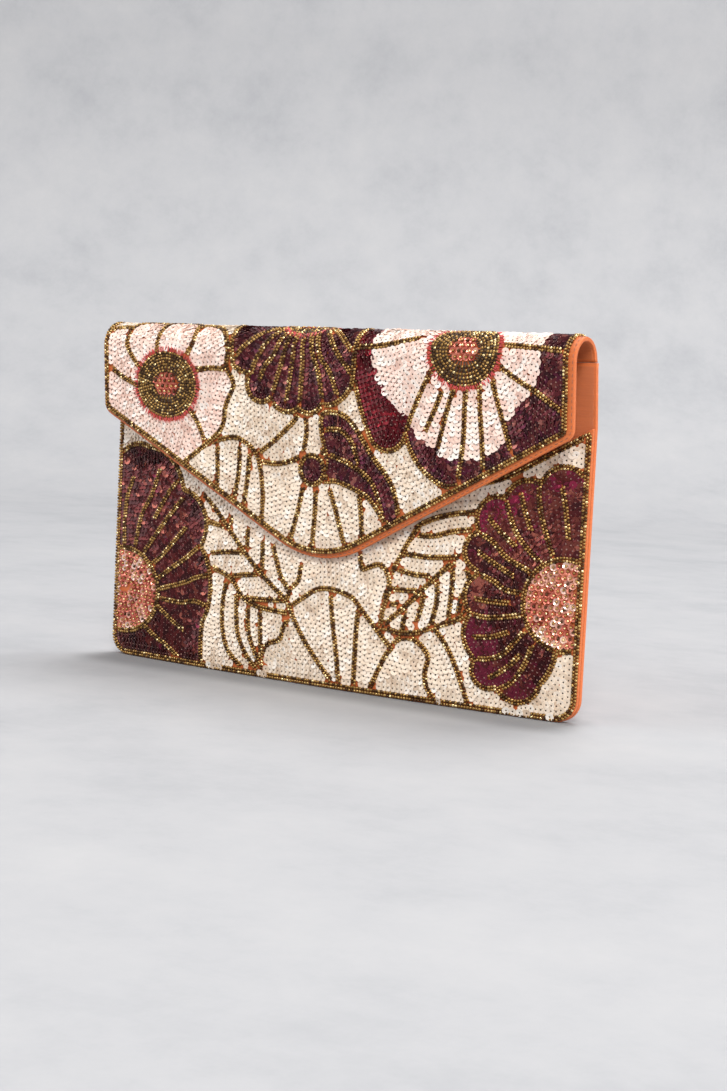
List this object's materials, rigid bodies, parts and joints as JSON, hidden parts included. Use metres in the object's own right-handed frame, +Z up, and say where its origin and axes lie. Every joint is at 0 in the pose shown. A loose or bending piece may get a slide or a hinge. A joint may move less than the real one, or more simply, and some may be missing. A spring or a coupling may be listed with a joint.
{
  "type": "clutch purse",
  "caption": "Slim stiffened envelope clutch: bowed front with sequin and bead flowers, lined pouch with a slip pocket, and a folded-over flap that a hidden magnetic snap holds shut.",
  "frame": {"origin": "centre of the bounding box's base, where the closed purse stands", "axes": "+X along the width, to the right of a viewer who faces the flap; +Y towards the plain back; +Z up"},
  "size_m": [0.254, 0.0216, 0.1608],
  "materials": {
    "rust_fabric": "satin weave",
    "rust_lining": "satin",
    "stiffener": "matt",
    "interlining": "matt",
    "gold_beads": "antique",
    "ivory_sequins": "pearl",
    "blush_sequins": "pearl",
    "burgundy_sequins": "metallic",
    "coral_sequins": "pearl",
    "snap_metal": "polished",
    "snap_magnet": "ferrite"
  },
  "bodies": {
    "pouch": {"back_outer_fabric": "rust_fabric", "back_board": "stiffener", "back_lining": "rust_lining", "slip_pocket": "rust_lining", "base_fabric": "rust_fabric", "base_board": "stiffener", "base_lining": "rust_lining", "front_outer_fabric": "rust_fabric", "front_board": "stiffener", "front_lining": "rust_lining", "front_edge_beads": "gold_beads", "front_flower_beads": "gold_beads", "front_leaf_beads": "gold_beads", "front_ivory_sequins": "ivory_sequins", "front_left_petal_sequins": "burgundy_sequins", "front_right_petal_sequins": "burgundy_sequins", "front_left_centre_sequins": "coral_sequins", "front_right_centre_sequins": "coral_sequins", "snap_socket_case": "snap_metal", "snap_socket_magnet": "snap_magnet", "snap_socket_washer": "snap_metal"},
    "flap": {"flap_outer_fabric": "rust_fabric", "flap_board": "stiffener", "fold_interlining": "interlining", "flap_facing": "rust_lining", "flap_edge_beads": "gold_beads", "flap_blush_flower_beads": "gold_beads", "flap_fold_flower_beads": "gold_beads", "flap_right_flower_beads": "gold_beads", "flap_leaf_beads": "gold_beads", "flap_line_beads": "gold_beads", "flap_ring_beads": "gold_beads", "flap_eye_sequins": "coral_sequins", "flap_ivory_sequins": "ivory_sequins", "flap_blush_flower_sequins": "blush_sequins", "flap_fold_flower_sequins": "burgundy_sequins", "flap_right_petal_sequins": "burgundy_sequins", "flap_right_heart_sequins": "blush_sequins", "flap_bud_leaf_sequins": "burgundy_sequins", "snap_stud_plate": "snap_metal", "snap_stud_washer": "snap_metal"}
  },
  "joints": [
    {"name": "flap_hinge", "type": "hinge", "parent": "pouch", "child": "flap", "pos_m": [0, 0.0108, 0.1494], "axis": [-1, 0, 0], "range_deg": [0, 120]}
  ]
}
